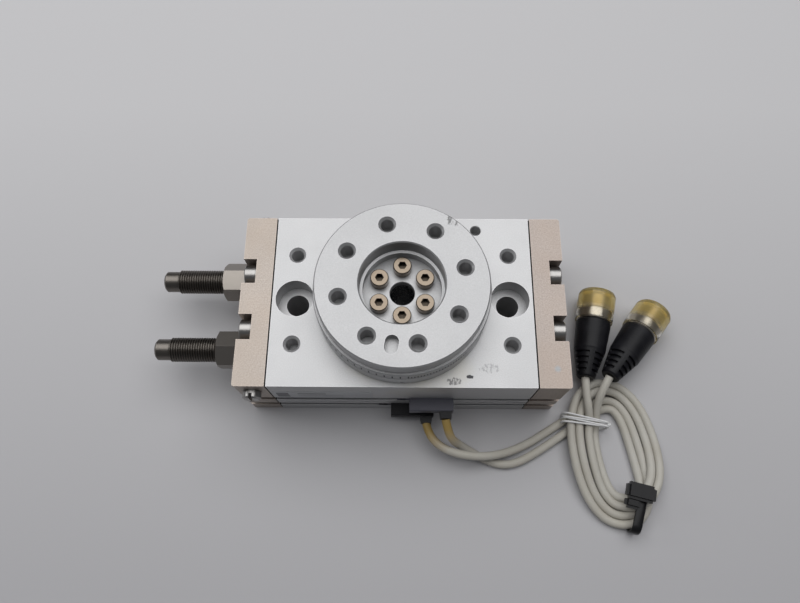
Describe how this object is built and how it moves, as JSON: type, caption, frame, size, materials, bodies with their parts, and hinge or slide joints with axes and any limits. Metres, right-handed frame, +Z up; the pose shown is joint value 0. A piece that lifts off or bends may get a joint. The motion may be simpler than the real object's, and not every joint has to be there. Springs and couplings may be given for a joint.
{
  "type": "rotary pneumatic actuator",
  "caption": "Compact rack-and-pinion rotary table actuator: round turntable on a block body with end covers, two shock absorbers, two clipped-in position switches and their leads.",
  "frame": {"origin": "on the table's axis at the underside of the body", "axes": "+X along the cylinder bores away from the shock absorbers, +Y away from the switch side, +Z up through the table"},
  "size_m": [0.217, 0.1231, 0.0578],
  "materials": {
    "anodised_body": "clear anodised, fine grain",
    "anodised_table": "clear anodised, turned",
    "nickel_cover": "warm nickel plated, fine pitted",
    "gasket_rubber": "matte",
    "bright_screw": "bright",
    "nickel_screw": "warm nickel",
    "nickel_nut": "nickel plated",
    "plate_foil": "satin foil",
    "switch_black": "matte",
    "switch_grey": "satin",
    "boot_black": "matte",
    "lead_jacket": "grey jacket, slightly yellowed",
    "white_tie": "satin",
    "black_nylon": "satin",
    "gear_steel": "ground",
    "spring_steel": "bright",
    "bearing_steel": "ground",
    "cage_brass": "satin",
    "seal_rubber": "matte",
    "wear_plastic": "matte",
    "magnet_ferrite": "matte",
    "gunmetal": "black oxide",
    "overmould_black": "satin",
    "insert_black": "matte",
    "plug_nickel": "nickel",
    "amber_cap": "translucent"
  },
  "bodies": {
    "body": {"body_block": "anodised_body", "end_cover_left": "nickel_cover", "end_cover_right": "nickel_cover", "end_gaskets": "gasket_rubber", "cover_screws": "bright_screw", "port_plugs": "bright_screw", "bottom_cover": "anodised_body", "bottom_cover_screws": "nickel_screw", "bearing_retainer": "anodised_body", "retainer_screws": "nickel_screw", "upper_bearing_outer_race": "bearing_steel", "lower_bearing_outer_race": "bearing_steel", "lock_nut_front": "nickel_nut", "lock_nut_back": "nickel_nut", "name_plate": "plate_foil", "proximity_switch_left": "switch_black", "proximity_switch_right": "switch_grey", "switch_screws": "nickel_screw", "switch_boots": "boot_black", "plug_overmould_left": "overmould_black", "plug_overmould_right": "overmould_black", "contact_insert_left": "insert_black", "contact_insert_right": "insert_black", "lead_left": "lead_jacket", "lead_right": "lead_jacket", "lead_tail_left": "lead_jacket", "lead_tail_right": "lead_jacket", "cable_coil": "lead_jacket", "wire_tie": "white_tie", "cable_tie": "black_nylon"},
    "table": {"table": "anodised_table", "table_screws": "nickel_screw", "pinion_shaft": "gear_steel", "shaft_retaining_ring": "spring_steel", "upper_bearing_inner_race": "bearing_steel", "lower_bearing_inner_race": "bearing_steel"},
    "upper_cage": {"upper_bearing_balls": "bearing_steel", "upper_bearing_cage": "cage_brass"},
    "lower_cage": {"lower_bearing_balls": "bearing_steel", "lower_bearing_cage": "cage_brass"},
    "rack_front": {"rack_piston_front": "gear_steel", "piston_seals_front": "seal_rubber", "wear_rings_front": "wear_plastic", "piston_magnet_front": "magnet_ferrite"},
    "absorber_front": {"absorber_body_front": "gunmetal", "absorber_spring_front": "spring_steel"},
    "absorber_rod_front": {"absorber_rod_front": "spring_steel"},
    "rack_back": {"rack_piston_back": "gear_steel", "piston_seals_back": "seal_rubber", "wear_rings_back": "wear_plastic", "piston_magnet_back": "magnet_ferrite"},
    "absorber_back": {"absorber_body_back": "gunmetal", "absorber_spring_back": "spring_steel"},
    "absorber_rod_back": {"absorber_rod_back": "spring_steel"},
    "plug_nut_left": {"coupling_nut_left": "plug_nickel", "protective_cap_left": "amber_cap"},
    "plug_nut_right": {"coupling_nut_right": "plug_nickel", "protective_cap_right": "amber_cap"}
  },
  "joints": [
    {"name": "table_turn", "type": "hinge", "parent": "body", "child": "table", "pos_m": [0, 0, 0.03], "axis": [0, 0, 1], "range_deg": [-86.5, 103.5]},
    {"name": "upper_cage_turn", "type": "hinge", "parent": "body", "child": "upper_cage", "pos_m": [0, 0, 0.0355], "axis": [0, 0, 1], "range_deg": [-38.5, 46]},
    {"name": "lower_cage_turn", "type": "hinge", "parent": "body", "child": "lower_cage", "pos_m": [0, 0, 0.0057], "axis": [0, 0, 1], "range_deg": [-38.5, 46]},
    {"name": "rack_front_slide", "type": "slide", "parent": "body", "child": "rack_front", "axis": [1, 0, 0], "range_m": [-0.01362, 0.01628]},
    {"name": "rack_back_slide", "type": "slide", "parent": "body", "child": "rack_back", "axis": [1, 0, 0], "range_m": [-0.01628, 0.01362]},
    {"name": "absorber_front_adjust", "type": "slide", "parent": "body", "child": "absorber_front", "axis": [-1, 0, 0], "range_m": [0, 0.008]},
    {"name": "absorber_rod_front_stroke", "type": "slide", "parent": "absorber_front", "child": "absorber_rod_front", "axis": [-1, 0, 0], "range_m": [0, 0.006], "stiffness_N_per_m": 400, "springref_m": -0.001},
    {"name": "absorber_back_adjust", "type": "slide", "parent": "body", "child": "absorber_back", "axis": [-1, 0, 0], "range_m": [0, 0.008]},
    {"name": "absorber_rod_back_stroke", "type": "slide", "parent": "absorber_back", "child": "absorber_rod_back", "axis": [-1, 0, 0], "range_m": [0, 0.006], "stiffness_N_per_m": 400, "springref_m": -0.001},
    {"name": "plug_nut_left_turn", "type": "hinge", "parent": "body", "child": "plug_nut_left", "pos_m": [0.077, -0.0234, 0.00937], "axis": [0.2316, 0.9722, -0.0349], "continuous": true},
    {"name": "plug_nut_right_turn", "type": "hinge", "parent": "body", "child": "plug_nut_right", "pos_m": [0.0861, -0.0237, 0.01275], "axis": [0.6097, 0.7832, -0.1219], "continuous": true}
  ],
  "couplings": [
    {"joint": "rack_front_slide", "follows": "table_turn", "m_per_rad": 0.009},
    {"joint": "rack_back_slide", "follows": "table_turn", "m_per_rad": -0.009},
    {"joint": "upper_cage_turn", "follows": "table_turn", "ratio": 0.43766},
    {"joint": "lower_cage_turn", "follows": "table_turn", "ratio": 0.43077}
  ]
}
